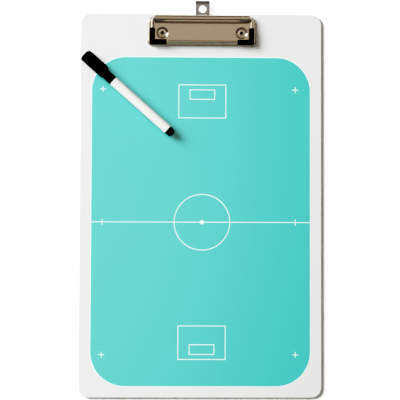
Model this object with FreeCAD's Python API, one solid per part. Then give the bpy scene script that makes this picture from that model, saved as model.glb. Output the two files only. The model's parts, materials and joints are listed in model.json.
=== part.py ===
import FreeCAD, Part
import math
import os

# Tactics board: a printed dry-erase board with a wire-bail paper clip, a pull-out hanging tab and a marker.
# Millimetres. The back of the board lies on Z = 0, centred on the origin.
# +Y runs up to the clip, and +Z points out of the printed face.

# Board
board_width = 252.0
board_length = 400.0
board_corner_radius = 11.0
core_thickness = 2.6
laminate_thickness = 0.2
edge_ease = 0.5

# Pitch print: a thin turquoise layer whose lines are left open, so that the white face shows through
print_thickness = 0.1
print_side_margin = 12.25
print_bottom_margin = 12.1
print_clip_margin = 11.6
print_corner_radius = 35.4
line_width = 0.9
fine_line_width = 0.8
pitch_shift_x = 1.2
pitch_shift_y = -0.6
halfway_drop = 0.65
circle_radius = 29.0
spot_diameter = 4.6
goal_area_width = 49.1
goal_area_depth = 34.6
goal_area_end_gap = 28.15
goal_box_width = 25.7
goal_box_depth = 10.0
goal_box_inset = 5.2
cross_span = 6.2
cross_left_inset = 11.3
cross_right_inset = 15.3
cross_end_gap = 33.05
tick_length = 6.5

# Clip plate: one sheet with a turned-down rim, two dishes that reach the board, and a curl along its top edge
clip_center_x = 0.6
sheet = 0.8
plate_side_margin = 2.4
plate_foot_margin = 1.4
plate_corner_radius = 5.0
shoulder_rise = 2.8
shoulder_radius = 7.0
rim_inner_round = 0.4
roll_inset = 5.8
roll_length = 98.8
roll_play = 0.4
curl_gap = 0.1
dish_end_inset = 8.0
dish_drop = 14.7
dish_mouth_diameter = 11.0
dish_floor_diameter = 8.0
lug_width = 1.6
lug_length = 2.0
lug_clearance = 0.1

# Bail: one spring wire, with a rubber grip on each lower corner
wire_diameter = 2.8
bail_lever = 24.6
bail_side_gap = 1.0
bail_inner_round = 0.2
bail_leg_gap = 8.0
grip_diameter = 5.2
grip_arm_length = 14.4
grip_run_length = 14.6
grip_fit = 0.03
grip_rest_gap = 0.1

# Tubular rivets
rivet_shank_diameter = 4.0
rivet_bore_diameter = 3.2
rivet_rim_diameter = 5.8
rivet_rim_height = 0.7
rivet_rim_round = 0.5
rivet_head_diameter = 8.0
rivet_head_thickness = 0.7
rivet_clearance = 0.05

# Hanging tab
tab_width = 14.8
tab_aside = 0.65
tab_sheet = 0.8
tab_reach = 13.0
tab_hole_diameter = 8.0
tab_hole_inset = 8.2
tab_bridge = 1.3
tab_leg_width = 3.1
tab_hook_length = 1.5
tab_side_clearance = 0.3
tab_stop_clearance = 0.3
tab_lift = 0.3
lip_height = 1.8
lip_crown = 0.8

# Marker: stations are measured along its axis from the closed end of the cap
marker_side_inset = 4.46
marker_top_inset = 45.35
marker_heading = -41.54
cap_diameter = 11.6
cap_end_wall = 1.6
cap_nib_room = 4.55
cap_edge_round = 0.2
cap_fit = 0.08
cap_stop_gap = 0.1
pocket_clip_setback = 1.6
pocket_clip_width = 3.5
pocket_clip_thickness = 1.3
pocket_clip_gap = 0.95
pocket_clip_root = 4.0
pocket_clip_bump = 0.5
pocket_clip_round = 0.5
pocket_clip_rest_gap = 0.25
pocket_clip_end_share = 0.4
collar_step = 0.95
collar_length = 12.1
spigot_diameter = 7.8
spigot_length = 9.0
nose_length = 8.0
nose_tip_wall = 0.7
nose_step = 0.5
section_tail_length = 8.0
nib_diameter = 2.6
nib_projection = 5.0
nib_fit = 0.05
nib_tail = 4.0
barrel_length = 76.1
barrel_diameter = 10.2
barrel_wall = 1.0
barrel_edge_round = 0.3
press_clearance = 0.03
reservoir_play = 0.35
reservoir_end_gap = 0.3
sheath_wall = 0.2
sheath_fit = 0.05
plug_diameter = 8.5
plug_length = 5.3
plug_end_round = 1.4
plug_flange_diameter = 9.6
plug_flange_length = 0.8
plug_spigot_length = 7.0
plug_spigot_wall = 1.0
marker_rest_gap = 0.1

# One overrun serves every cut
overrun = 1.0

# Heights and places that follow from the sizes above
board_top = core_thickness + 2 * laminate_thickness
print_top = board_top + print_thickness
wire_radius = wire_diameter / 2
curl_pitch = sheet + curl_gap
roll_radius = wire_radius + roll_play + sheet + curl_pitch
plate_headroom = tab_sheet + 2 * tab_lift
tab_center_x = clip_center_x + tab_aside
plate_under = board_top + plate_headroom
plate_top = plate_under + sheet
hinge_y = board_length / 2 - roll_inset
hinge_z = plate_under + roll_radius
bail_span = roll_length + 2 * bail_side_gap + wire_diameter
bail_bend_radius = grip_diameter / 2 + bail_inner_round
plate_width = bail_span + grip_diameter + 2 * plate_side_margin
plate_low_y = hinge_y - bail_lever - grip_diameter / 2 - plate_foot_margin
print_low_y = -board_length / 2 + print_bottom_margin
print_high_y = plate_low_y - print_clip_margin
print_length = print_high_y - print_low_y
print_width = board_width - 2 * print_side_margin
pitch_x = pitch_shift_x
pitch_y = print_low_y + print_length / 2 + pitch_shift_y
halfway_y = pitch_y - halfway_drop
goal_area_reach = print_length / 2 - goal_area_end_gap
cross_reach = print_length / 2 - cross_end_gap
dish_y = hinge_y - dish_drop
dish_spacing = roll_length - 2 * dish_end_inset
dish_places = [clip_center_x - dish_spacing / 2, clip_center_x + dish_spacing / 2]
run_z = plate_top + grip_rest_gap + grip_diameter / 2
bail_tilt = math.degrees(math.asin((run_z - hinge_z) / bail_lever))
marker_height = marker_rest_gap + max(cap_diameter, barrel_diameter, plug_flange_diameter) / 2
marker_z = print_top + marker_height
cap_end_x = marker_side_inset - board_width / 2
cap_end_y = board_length / 2 - marker_top_inset
barrel_bore = barrel_diameter - 2 * barrel_wall
collar_diameter = spigot_diameter + 2 * collar_step
nose_base_diameter = spigot_diameter - 2 * nose_step
reservoir_diameter = barrel_bore - 2 * (reservoir_play + sheath_wall + sheath_fit)
cap_length = cap_end_wall + cap_nib_room + nib_projection + nose_length + spigot_length
collar_start = cap_length + cap_stop_gap
barrel_start = collar_start + collar_length
barrel_end = barrel_start + barrel_length
nose_tip = collar_start - spigot_length - nose_length
tail_end = barrel_start + section_tail_length
plug_start = barrel_end - plug_spigot_length
pocket_clip_length = cap_length - pocket_clip_setback
pocket_clip_inside = cap_diameter / 2 + pocket_clip_gap
pocket_clip_outside = pocket_clip_inside + pocket_clip_thickness
pocket_clip_corner = math.hypot(pocket_clip_outside, pocket_clip_width / 2)
pocket_clip_lean = math.asin((marker_height - pocket_clip_rest_gap) / pocket_clip_corner)
pocket_clip_droop = math.degrees(pocket_clip_lean - math.atan2(pocket_clip_width / 2, pocket_clip_outside))


def point(x, y, z):
    return FreeCAD.Vector(x, y, z)


def box(x0, x1, y0, y1, z0, z1):
    return Part.makeBox(x1 - x0, y1 - y0, z1 - z0, point(x0, y0, z0))


def post(diameter, x, y, z0, z1):
    return Part.makeCylinder(diameter / 2, z1 - z0, point(x, y, z0))


def arc(center_x, center_y, radius, start, sweep, z):
    """Arc in a level plane, from the angle start through sweep degrees."""
    spots = []
    for angle in (start, start + sweep / 2, start + sweep):
        turn = math.radians(angle)
        spots.append(point(center_x + radius * math.cos(turn), center_y + radius * math.sin(turn), z))
    return Part.Arc(*spots).toShape()


def rounded_slab(x0, x1, y0, y1, low_radius, high_radius, z0, z1):
    """Upright slab whose plan is a rectangle with one radius on the low corners and one on the high corners."""
    corners = [
        arc(x0 + low_radius, y0 + low_radius, low_radius, 180, 90, z0),
        arc(x1 - low_radius, y0 + low_radius, low_radius, 270, 90, z0),
        arc(x1 - high_radius, y1 - high_radius, high_radius, 0, 90, z0),
        arc(x0 + high_radius, y1 - high_radius, high_radius, 90, 90, z0),
    ]
    edges = []
    for index, corner in enumerate(corners):
        following = corners[(index + 1) % len(corners)]
        edges.append(corner)
        edges.append(Part.makeLine(corner.lastVertex().Point, following.firstVertex().Point))
    outline = Part.Face(Part.Wire(edges))
    return outline.extrude(point(0, 0, z1 - z0))


def level_edges(shape, z):
    """Edges that lie wholly at the height z."""
    tolerance = sheet / 1000
    found = []
    for edge in shape.Edges:
        bounds = edge.BoundBox
        if abs(bounds.ZMin - z) < tolerance and abs(bounds.ZMax - z) < tolerance:
            found.append(edge)
    return found


def turned(profile):
    """Solid turned about the X axis from (station, radius) points."""
    spots = [point(station, 0, radius) for station, radius in profile]
    spots.append(spots[0])
    face = Part.Face(Part.makePolygon(spots))
    return face.revolve(point(0, 0, 0), point(1, 0, 0), 360)


def end_edges(shape, station):
    """Round edges that lie square across the X axis at one station."""
    tolerance = sheet / 1000
    found = []
    for edge in shape.Edges:
        bounds = edge.BoundBox
        if abs(bounds.XMin - station) < tolerance and abs(bounds.XMax - station) < tolerance:
            found.append(edge)
    return found


def board_slab(inset, z0, z1):
    half_width = board_width / 2 - inset
    half_length = board_length / 2 - inset
    radius = board_corner_radius - inset
    return rounded_slab(-half_width, half_width, -half_length, half_length, radius, radius, z0, z1)


def rivet_holes(diameter, z0, z1):
    return [post(diameter, x, dish_y, z0, z1) for x in dish_places]


# Board core: eased along both faces, drilled for the rivets
def make_board_core():
    low = laminate_thickness
    high = low + core_thickness
    core = board_slab(0, low, high)
    core = core.makeFillet(edge_ease, level_edges(core, low) + level_edges(core, high))
    core = core.cut(rivet_holes(rivet_shank_diameter + 2 * rivet_clearance, low - overrun, high + overrun))
    recess_top = rivet_head_thickness + 2 * rivet_clearance
    return core.cut(rivet_holes(rivet_head_diameter + 2 * rivet_clearance, low - overrun, recess_top))


# Laminates: thin sheets that stop where the core's edge is eased
def make_front_laminate():
    low = board_top - laminate_thickness
    film = board_slab(edge_ease, low, board_top)
    return film.cut(rivet_holes(rivet_shank_diameter + 2 * rivet_clearance, low - overrun, board_top + overrun))


def make_back_laminate():
    film = board_slab(edge_ease, 0, laminate_thickness)
    hole = rivet_head_diameter + 2 * rivet_clearance
    return film.cut(rivet_holes(hole, -overrun, laminate_thickness + overrun))


# Pitch print: every line is a cutter
def line_box(center_x, center_y, length_x, length_y):
    half_x = length_x / 2
    half_y = length_y / 2
    return box(center_x - half_x, center_x + half_x, center_y - half_y, center_y + half_y,
               board_top - overrun, print_top + overrun)


def line_frame(center_x, center_y, length_x, length_y):
    outside = line_box(center_x, center_y, length_x + line_width, length_y + line_width)
    return outside.cut(line_box(center_x, center_y, length_x - line_width, length_y - line_width))


def line_ring(radius):
    low = board_top - overrun
    high = print_top + overrun
    outside = post(2 * radius + line_width, pitch_x, halfway_y, low, high)
    return outside.cut(post(2 * radius - line_width, pitch_x, halfway_y, low, high))


def goal_lines(side):
    area_y = pitch_y + side * (goal_area_reach - goal_area_depth / 2)
    box_y = pitch_y + side * (goal_area_reach - goal_box_inset - goal_box_depth / 2)
    area = line_frame(pitch_x, area_y, goal_area_width, goal_area_depth)
    goal_box = line_frame(pitch_x, box_y, goal_box_width, goal_box_depth)
    return [area, goal_box]


def make_field_print():
    half = print_width / 2
    field = rounded_slab(-half, half, print_low_y, print_high_y,
                         print_corner_radius, print_corner_radius, board_top, print_top)
    cutters = [line_box(0, halfway_y, print_width + overrun, line_width), line_ring(circle_radius)]
    cutters.append(post(spot_diameter, pitch_x, halfway_y, board_top - overrun, print_top + overrun))
    for side in (-1, 1):
        cutters.extend(goal_lines(side))
    for mark_x in (-half + cross_left_inset, half - cross_right_inset):
        cutters.append(line_box(mark_x, halfway_y, fine_line_width, tick_length))
        for side in (-1, 1):
            mark_y = pitch_y + side * cross_reach
            cutters.append(line_box(mark_x, mark_y, cross_span, fine_line_width))
            cutters.append(line_box(mark_x, mark_y, fine_line_width, cross_span))
    return field.cut(cutters)


# Clip plate
def clip_tray(inset, z0, z1):
    half = plate_width / 2 - inset
    low_y = plate_low_y + inset
    high_y = hinge_y + shoulder_rise - inset
    return rounded_slab(clip_center_x - half, clip_center_x + half, low_y, high_y,
                        plate_corner_radius - inset, shoulder_radius - inset, z0, z1)


def make_curl():
    """Sheet curled one and a half turns, as half circles whose radius drops half a pitch each time."""
    left = clip_center_x - roll_length / 2
    outer = []
    inner = []
    low = hinge_z - roll_radius
    for turn in range(3):
        radius = roll_radius - turn * curl_pitch / 2
        side = 1 if turn % 2 == 0 else -1
        center = low + radius if side > 0 else high - radius
        for wall, bucket in ((radius, outer), (radius - sheet, inner)):
            first = point(left, hinge_y, center - side * wall)
            middle = point(left, hinge_y + side * wall, center)
            last = point(left, hinge_y, center + side * wall)
            bucket.append(Part.Arc(first, middle, last).toShape())
        if side > 0:
            high = center + radius
        else:
            low = center - radius
    edges = outer + inner
    edges.append(Part.makeLine(outer[0].firstVertex().Point, inner[0].firstVertex().Point))
    edges.append(Part.makeLine(outer[-1].lastVertex().Point, inner[-1].lastVertex().Point))
    outline = Part.Wire(Part.__sortEdges__(edges))
    return Part.Face(outline).extrude(point(roll_length, 0, 0))


def make_clip_plate():
    plate = clip_tray(0, board_top, plate_top)
    plate = plate.makeFillet(rim_inner_round + sheet, level_edges(plate, plate_top))
    hollow = clip_tray(sheet, board_top - overrun, plate_under)
    hollow = hollow.makeFillet(rim_inner_round, level_edges(hollow, plate_under))
    half_roll = roll_length / 2
    open_back = box(clip_center_x - half_roll, clip_center_x + half_roll, hinge_y,
                    hinge_y + shoulder_rise + overrun, board_top - overrun, plate_top + overrun)
    plate = plate.cut([hollow, open_back])
    floor_radius = dish_floor_diameter / 2
    mouth_radius = dish_mouth_diameter / 2
    dishes = []
    hollows = []
    for x in dish_places:
        under = point(x, dish_y, board_top)
        floor = point(x, dish_y, board_top + sheet)
        dishes.append(Part.makeCone(floor_radius, mouth_radius, plate_headroom, under))
        hollows.append(Part.makeCone(floor_radius, mouth_radius, plate_headroom, floor))
    holes = rivet_holes(rivet_shank_diameter + 2 * rivet_clearance, board_top - overrun, plate_top + overrun)
    plate = plate.fuse(dishes).cut(hollows + holes)
    lugs = []
    for side in (-1, 1):
        inner_x = tab_center_x + side * (tab_width / 2 + tab_side_clearance)
        outer_x = inner_x + side * lug_width
        lugs.append(box(min(inner_x, outer_x), max(inner_x, outer_x), hinge_y - lug_length, hinge_y,
                        board_top + lug_clearance, plate_under))
    return plate.fuse([make_curl()] + lugs).removeSplitter()


# Bail wire and its grips: drawn level with the hinge, then tilted to rest on the plate
def bent_path(spots, radius):
    """Straight runs through the spots, joined by arcs of one radius at square corners."""
    edges = []
    start = spots[0]
    for before, corner, after in zip(spots, spots[1:], spots[2:]):
        back = (before - corner).normalize()
        ahead = (after - corner).normalize()
        first = corner + back * radius
        last = corner + ahead * radius
        middle = corner + (back + ahead) * radius * (1 - math.sqrt(0.5))
        edges.append(Part.makeLine(start, first))
        edges.append(Part.Arc(first, middle, last).toShape())
        start = last
    edges.append(Part.makeLine(start, spots[-1]))
    return Part.Wire(edges)


def rod(path, diameter):
    first = path.Edges[0]
    start = first.Vertexes[0].Point
    heading = first.Vertexes[1].Point - start
    section = Part.Wire(Part.makeCircle(diameter / 2, start, heading))
    return path.makePipeShell([section], True, True)


def tilted(shape):
    turned_shape = shape.copy()
    turned_shape.rotate(point(clip_center_x, hinge_y, hinge_z), point(-1, 0, 0), bail_tilt)
    return turned_shape


def make_bail_wire():
    low_y = hinge_y - bail_lever
    left = clip_center_x - bail_span / 2
    right = clip_center_x + bail_span / 2
    spots = [
        point(clip_center_x - bail_leg_gap / 2, hinge_y, hinge_z),
        point(left, hinge_y, hinge_z),
        point(left, low_y, hinge_z),
        point(right, low_y, hinge_z),
        point(right, hinge_y, hinge_z),
        point(clip_center_x + bail_leg_gap / 2, hinge_y, hinge_z),
    ]
    return tilted(rod(bent_path(spots, bail_bend_radius), wire_diameter))


def make_corner_grip(side):
    low_y = hinge_y - bail_lever
    arm_x = clip_center_x + side * bail_span / 2
    corner = point(arm_x, low_y, hinge_z)
    arm_end = point(arm_x, low_y + grip_arm_length, hinge_z)
    run_end = point(arm_x - side * grip_run_length, low_y, hinge_z)
    path = bent_path([arm_end, corner, run_end], bail_bend_radius)
    return tilted(rod(path, grip_diameter).cut(rod(path, wire_diameter + 2 * grip_fit)))


# Rivets: a rolled rim in the dish, a shank through the board and a head let into the back
def make_rivet(x):
    floor = board_top + sheet
    rim_top = floor + rivet_rim_height
    head = post(rivet_head_diameter, x, dish_y, rivet_clearance, rivet_clearance + rivet_head_thickness)
    shank = post(rivet_shank_diameter, x, dish_y, rivet_clearance, floor)
    rim = post(rivet_rim_diameter, x, dish_y, floor, rim_top)
    rim = rim.makeFillet(rivet_rim_round, level_edges(rim, rim_top))
    bore = post(rivet_bore_diameter, x, dish_y, -overrun, rim_top + overrun)
    return head.fuse([shank, rim]).cut(bore).removeSplitter()


# Hanging tab: a sheet with a round hole, two springy legs that hook behind the lugs, and a crowned lip
def make_hang_tab():
    low = board_top + tab_lift
    high = low + tab_sheet
    half = tab_width / 2
    left = tab_center_x - half
    right = tab_center_x + half
    top_y = board_length / 2 + tab_reach
    hole_y = top_y - tab_hole_inset
    hook_top = hinge_y - lug_length - tab_stop_clearance
    foot_y = hook_top - tab_hook_length
    slot_top = hole_y - tab_hole_diameter / 2 - tab_bridge
    hook_reach = tab_side_clearance + lug_width
    body = box(left, right, foot_y, top_y, low, high)
    hooks = box(left - hook_reach, right + hook_reach, foot_y, hook_top, low, high)
    slot = box(left + tab_leg_width, right - tab_leg_width, foot_y - overrun, slot_top,
               low - overrun, high + overrun)
    hole = post(tab_hole_diameter, tab_center_x, hole_y, low - overrun, high + overrun)
    lip_low = point(left, top_y, low)
    lip_left = point(left, top_y, high + lip_height)
    lip_crest = point(tab_center_x, top_y, high + lip_height + lip_crown)
    lip_right = point(right, top_y, high + lip_height)
    lip_edges = [
        Part.makeLine(lip_low, lip_left),
        Part.Arc(lip_left, lip_crest, lip_right).toShape(),
        Part.makeLine(lip_right, point(right, top_y, low)),
        Part.makeLine(point(right, top_y, low), lip_low),
    ]
    lip = Part.Face(Part.Wire(lip_edges)).extrude(point(0, -tab_sheet, 0))
    tab = body.fuse([hooks, lip]).cut([slot, hole]).removeSplitter()
    bend = [edge for edge in level_edges(tab, low) if edge.BoundBox.YMin > top_y - tab_sheet / 2]
    return tab.makeFillet(tab_sheet, bend)


# Marker pieces: turned about the X axis from the closed end of the cap, then laid on the board
def laid_down(shape):
    marker = shape.copy()
    marker.rotate(point(0, 0, 0), point(0, 0, 1), marker_heading)
    marker.translate(point(cap_end_x, cap_end_y, marker_z))
    return marker


def make_pocket_clip():
    """Strip along the cap, drawn standing on top and then rolled down until its corner rests on the board."""
    bump = pocket_clip_inside - pocket_clip_bump
    bump_end = pocket_clip_length - pocket_clip_thickness
    bump_start = bump_end - pocket_clip_thickness
    root_low = cap_diameter / 2 - cap_end_wall / 2
    half = pocket_clip_width / 2
    spots = [
        (0, root_low), (0, pocket_clip_outside),
        (pocket_clip_length, pocket_clip_outside), (pocket_clip_length, bump),
        (bump_end, bump), (bump_start, pocket_clip_inside),
        (pocket_clip_root, pocket_clip_inside), (pocket_clip_root, root_low),
    ]
    corners = [point(station, -half, radius) for station, radius in spots]
    strip = Part.Face(Part.makePolygon(corners + [corners[0]])).extrude(point(0, pocket_clip_width, 0))
    end_round = pocket_clip_width * pocket_clip_end_share
    strip = strip.common(rounded_slab(-pocket_clip_width, pocket_clip_length, -half, half, end_round, end_round,
                                      0, pocket_clip_outside + overrun))
    crown = [edge for edge in level_edges(strip, pocket_clip_outside) if edge.BoundBox.XMax > pocket_clip_root]
    strip = strip.makeFillet(pocket_clip_round, crown)
    strip.rotate(point(0, 0, 0), point(1, 0, 0), -90 - pocket_clip_droop)
    return strip


def make_cap():
    outer = cap_diameter / 2
    bore = spigot_diameter / 2 + cap_fit
    cap = turned([(0, 0), (0, outer), (cap_length, outer), (cap_length, 0)])
    cap = cap.makeFillet(cap_edge_round, end_edges(cap, 0) + end_edges(cap, cap_length))
    cap = cap.fuse(make_pocket_clip())
    mouth = cap_length + overrun
    inside = turned([(cap_end_wall, 0), (cap_end_wall, bore), (mouth, bore), (mouth, 0)])
    return laid_down(cap.cut(inside).removeSplitter())


def make_front_section():
    bore = nib_diameter / 2 + nib_fit
    tip = bore + nose_tip_wall
    base = nose_base_diameter / 2
    spigot = spigot_diameter / 2
    collar = collar_diameter / 2
    tail = barrel_bore / 2 - press_clearance
    spigot_start = nose_tip + nose_length
    return laid_down(turned([
        (nose_tip, bore), (nose_tip, tip), (spigot_start, base), (spigot_start, spigot),
        (collar_start, spigot), (collar_start, collar), (barrel_start, collar), (barrel_start, tail),
        (tail_end, tail), (tail_end, bore),
    ]))


def make_nib():
    radius = nib_diameter / 2
    tip = nose_tip - nib_projection
    stop = tail_end + nib_tail
    shaft = turned([(tip + radius, 0), (tip + radius, radius), (stop, radius), (stop, 0)])
    return laid_down(shaft.fuse(Part.makeSphere(radius, point(tip + radius, 0, 0))).removeSplitter())


def make_barrel():
    outer = barrel_diameter / 2
    inner = barrel_bore / 2
    tube = turned([(barrel_start, inner), (barrel_start, outer), (barrel_end, outer), (barrel_end, inner)])
    rims = [edge for edge in end_edges(tube, barrel_start) + end_edges(tube, barrel_end)
            if edge.BoundBox.ZMax > inner + barrel_wall / 2]
    return laid_down(tube.makeFillet(barrel_edge_round, rims))


def make_reservoir():
    outer = reservoir_diameter / 2
    start = tail_end + reservoir_end_gap
    stop = plug_start - reservoir_end_gap
    socket = nib_diameter / 2 + nib_fit
    socket_end = tail_end + nib_tail + reservoir_end_gap
    return laid_down(turned([
        (start, socket), (start, outer), (stop, outer), (stop, 0), (socket_end, 0), (socket_end, socket),
    ]))


def make_reservoir_sheath():
    inner = reservoir_diameter / 2 + sheath_fit
    outer = inner + sheath_wall
    start = tail_end + reservoir_end_gap
    stop = plug_start - reservoir_end_gap
    return laid_down(turned([(start, inner), (start, outer), (stop, outer), (stop, inner)]))


def make_end_plug():
    spigot = barrel_bore / 2 - press_clearance
    flange = plug_flange_diameter / 2
    boss = plug_diameter / 2
    hollow = spigot - plug_spigot_wall
    flange_end = barrel_end + plug_flange_length
    stop = flange_end + plug_length
    plug = turned([
        (plug_start, hollow), (plug_start, spigot), (barrel_end, spigot), (barrel_end, flange),
        (flange_end, flange), (flange_end, boss), (stop, boss), (stop, 0),
        (barrel_end, 0), (barrel_end, hollow),
    ])
    return laid_down(plug.makeFillet(plug_end_round, end_edges(plug, stop)))


pieces = {
    "board_core": make_board_core(),
    "front_laminate": make_front_laminate(),
    "back_laminate": make_back_laminate(),
    "field_print": make_field_print(),
    "clip_plate": make_clip_plate(),
    "bail_wire": make_bail_wire(),
    "left_corner_grip": make_corner_grip(-1),
    "right_corner_grip": make_corner_grip(1),
    "left_rivet": make_rivet(dish_places[0]),
    "right_rivet": make_rivet(dish_places[1]),
    "hang_tab": make_hang_tab(),
    "marker_cap": make_cap(),
    "marker_front_section": make_front_section(),
    "marker_nib": make_nib(),
    "marker_barrel": make_barrel(),
    "marker_reservoir": make_reservoir(),
    "marker_reservoir_sheath": make_reservoir_sheath(),
    "marker_end_plug": make_end_plug(),
}

os.makedirs("parts", exist_ok=True)
for name, shape in pieces.items():
    solids = shape.Solids
    state = "valid" if shape.isValid() else "not valid"
    print(name, len(solids), "solids", round(shape.Volume, 3), "mm3", state)
    whole = solids[0] if len(solids) == 1 else Part.makeCompound(solids)
    whole.exportStep("parts/" + name + ".step")
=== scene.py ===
# %% [markdown]
# # A tactics board with a wire clip and a marker
# A coach lays this board on the bench, clips a sheet under the wire and draws on the pitch with a marker.
# The CAD frame already holds every piece at its real size, so this lesson is about looks: formed sheet
# metal, bent wire, rubber, moulded plastic, laminate, and the soft light that shows them.
# The flat pieces of the board keep their CAD meshes. The formed pieces are worked out again with numpy,
# because a stamped or moulded part has rounded edges that catch the light, and a CAD solid has few.

# %% Load the frame
import json
import math

import bmesh
import bpy
import numpy as np
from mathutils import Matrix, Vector


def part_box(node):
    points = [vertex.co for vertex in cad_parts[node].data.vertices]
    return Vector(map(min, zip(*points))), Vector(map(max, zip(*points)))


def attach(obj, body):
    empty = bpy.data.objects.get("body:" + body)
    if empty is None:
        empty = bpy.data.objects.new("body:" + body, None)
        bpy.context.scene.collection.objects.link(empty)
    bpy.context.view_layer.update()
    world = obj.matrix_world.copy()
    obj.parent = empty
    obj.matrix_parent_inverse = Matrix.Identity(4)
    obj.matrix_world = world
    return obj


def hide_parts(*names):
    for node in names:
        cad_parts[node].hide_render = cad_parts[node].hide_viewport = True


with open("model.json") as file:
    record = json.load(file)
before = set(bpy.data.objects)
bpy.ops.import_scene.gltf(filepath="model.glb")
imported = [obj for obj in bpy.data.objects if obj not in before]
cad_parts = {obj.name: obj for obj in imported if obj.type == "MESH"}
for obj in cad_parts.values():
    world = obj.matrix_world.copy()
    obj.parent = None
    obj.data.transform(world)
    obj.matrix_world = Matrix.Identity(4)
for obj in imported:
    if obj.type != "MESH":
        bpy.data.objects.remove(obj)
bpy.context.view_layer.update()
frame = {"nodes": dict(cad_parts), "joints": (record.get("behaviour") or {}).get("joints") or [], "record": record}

mm = 0.001
nodes = frame["nodes"]
joints = {joint["name"]: joint for joint in frame["joints"]}

# %% [markdown]
# ## Surfaces from arrays
# Every new piece is a grid of points: one parameter runs along the rows, the other along the columns, and
# each little square of the grid becomes a face. A grid could also be built face by face in edit mode, but
# whole arrays are quicker and the formula stays in view. Grids that share an edge are merged into one mesh.

# %% Clean meshes
merge_distance = 0.002 * mm
sharp_angle = math.radians(50)


def mesh_points(mesh):
    """Corners of a mesh as an array of places."""
    flat = np.empty(3 * len(mesh.vertices), np.float32)
    mesh.vertices.foreach_get("co", flat)
    return flat.reshape(-1, 3).astype(float)


def shade_softly(mesh):
    """Shades all but sharp edges smooth."""
    mesh.shade_smooth()
    mesh.set_sharp_from_angle(angle=sharp_angle)


def tidy_mesh(mesh):
    """Merges points that coincide, turns the faces outwards and shades them softly."""
    shape = bmesh.new()
    shape.from_mesh(mesh)
    bmesh.ops.remove_doubles(shape, verts=shape.verts, dist=merge_distance)
    bmesh.ops.recalc_face_normals(shape, faces=shape.faces)
    shape.to_mesh(mesh)
    shape.free()
    shade_softly(mesh)


# %% Grids to meshes
def grid_quads(rows, columns, closed):
    """Corner numbers of each quad: point (i, j), the one in the next row, and both in the next column."""
    row = np.arange(rows if closed else rows - 1)[:, None]
    column = np.arange(columns - 1)[None, :]
    near = row * columns + column
    far = (row + 1) % rows * columns + column
    return np.stack([near, far, far + 1, near + 1], axis=-1).reshape(-1, 4)


def new_piece(name, *grids):
    """One object from grids given as (points, closed, kept). Kept picks the quads that stay, or is None."""
    spots, quads, start = [], [], 0
    for points, closed, kept in grids:
        rows, columns = points.shape[:2]
        found = grid_quads(rows, columns, closed)
        quads.append(start + (found if kept is None else found[kept]))
        spots.append(points.reshape(-1, 3))
        start += rows * columns
    used, corners = np.unique(np.concatenate(quads), return_inverse=True)
    mesh = bpy.data.meshes.new(name)
    mesh.from_pydata(np.concatenate(spots)[used], [], corners.reshape(-1, 4))
    piece = bpy.data.objects.new(name, mesh)
    bpy.context.scene.collection.objects.link(piece)
    tidy_mesh(mesh)
    return piece


# %% [markdown]
# ## Rounded profiles
# Moulded and pressed parts have no knife edges. A profile is written as a few corner points, and each corner
# is then replaced by an arc that touches both of its sides. A Bevel modifier could do this on the finished
# mesh, but rounding the profile first gives clean, even rows of faces.

# %% Rounded corners
def unit(vectors):
    """Vectors divided by their lengths."""
    return vectors / np.linalg.norm(vectors, axis=-1, keepdims=True)


def rounded(corners, radii, steps=6, closed=False):
    """Corner points, each made an arc: its centre lies on the bisector, radius / sin(half angle) away."""
    corners = np.asarray(corners, float)
    if closed:
        corners = np.concatenate([corners[-1:], corners, corners[:1]])
    corner = corners[1:-1]
    back, ahead = unit(corners[:-2] - corner), unit(corners[2:] - corner)
    radii = np.broadcast_to(np.asarray(radii, float), len(corner))[:, None]
    half = np.arccos(np.clip((back * ahead).sum(1), -1, 1))[:, None] / 2
    centre = corner + unit(back + ahead) * radii / np.sin(half)
    first, last = corner + back * radii / np.tan(half), corner + ahead * radii / np.tan(half)
    sweep_angle = (math.pi - 2 * half)[:, None]
    share = np.linspace(0, 1, steps + 1)[None, :, None]
    arms = np.sin((1 - share) * sweep_angle) * (first - centre)[:, None]
    arms = arms + np.sin(share * sweep_angle) * (last - centre)[:, None]
    arcs = (centre[:, None] + arms / np.sin(sweep_angle)).reshape(-1, corners.shape[1])
    return arcs if closed else np.concatenate([corners[:1], arcs, corners[-1:]])


# %% Points along a line
def reach_along(points):
    """Distance along a line of points from its start to each of them."""
    return np.concatenate([[0], np.cumsum(np.linalg.norm(np.diff(points, axis=0), axis=1))])


def at_reach(points, marks):
    """Places at the given distances along a line of points."""
    reach = reach_along(points)
    return np.stack([np.interp(marks, reach, column) for column in points.T], axis=1)


def dense(points, step):
    """The same line with more points, none further than step from the next."""
    reach = reach_along(points)
    return at_reach(points, np.union1d(reach, np.arange(0, reach[-1], step)))


def between(breaks, step):
    """Rising numbers that pass through every break, no further apart than step."""
    counts = np.ceil(np.diff(breaks) / step).astype(int)
    pieces = [np.linspace(a, b, n, endpoint=False) for a, b, n in zip(breaks, breaks[1:], counts)]
    return np.concatenate(pieces + [breaks[-1:]])


# %% Profile carried along a path
def carried(profile, path, around=48, up=(0, 0, 1)):
    """Profile carried along a path: at each (station, radius), a circle of that radius square to the path."""
    reach = reach_along(path)
    keep = np.concatenate([[True], np.diff(reach) > 0])
    path, reach = path[keep], reach[keep]
    heading = np.gradient(path, reach, axis=0)
    centre = at_reach(path, profile[:, 0])
    heading = unit(np.stack([np.interp(profile[:, 0], reach, column) for column in heading.T], axis=1))
    side = unit(np.cross(heading, up))
    lift = np.cross(side, heading)
    angle = np.linspace(0, 2 * math.pi, around, endpoint=False)[:, None, None]
    return centre + profile[:, 1][:, None] * (np.cos(angle) * side + np.sin(angle) * lift)


# %% [markdown]
# ## The clip plate
# On the real board this is one nickel-plated sheet: a shallow tray with a turned-down rim, two dishes where
# rivets hold it, and a back edge that is curled into a tube. Sheet metal is easiest as its middle surface,
# which a Solidify modifier then thickens to both sides. The floor of the tray is a Coons patch, a grid
# stretched between four border curves, because its borders are round and a plain grid isn't.

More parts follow.
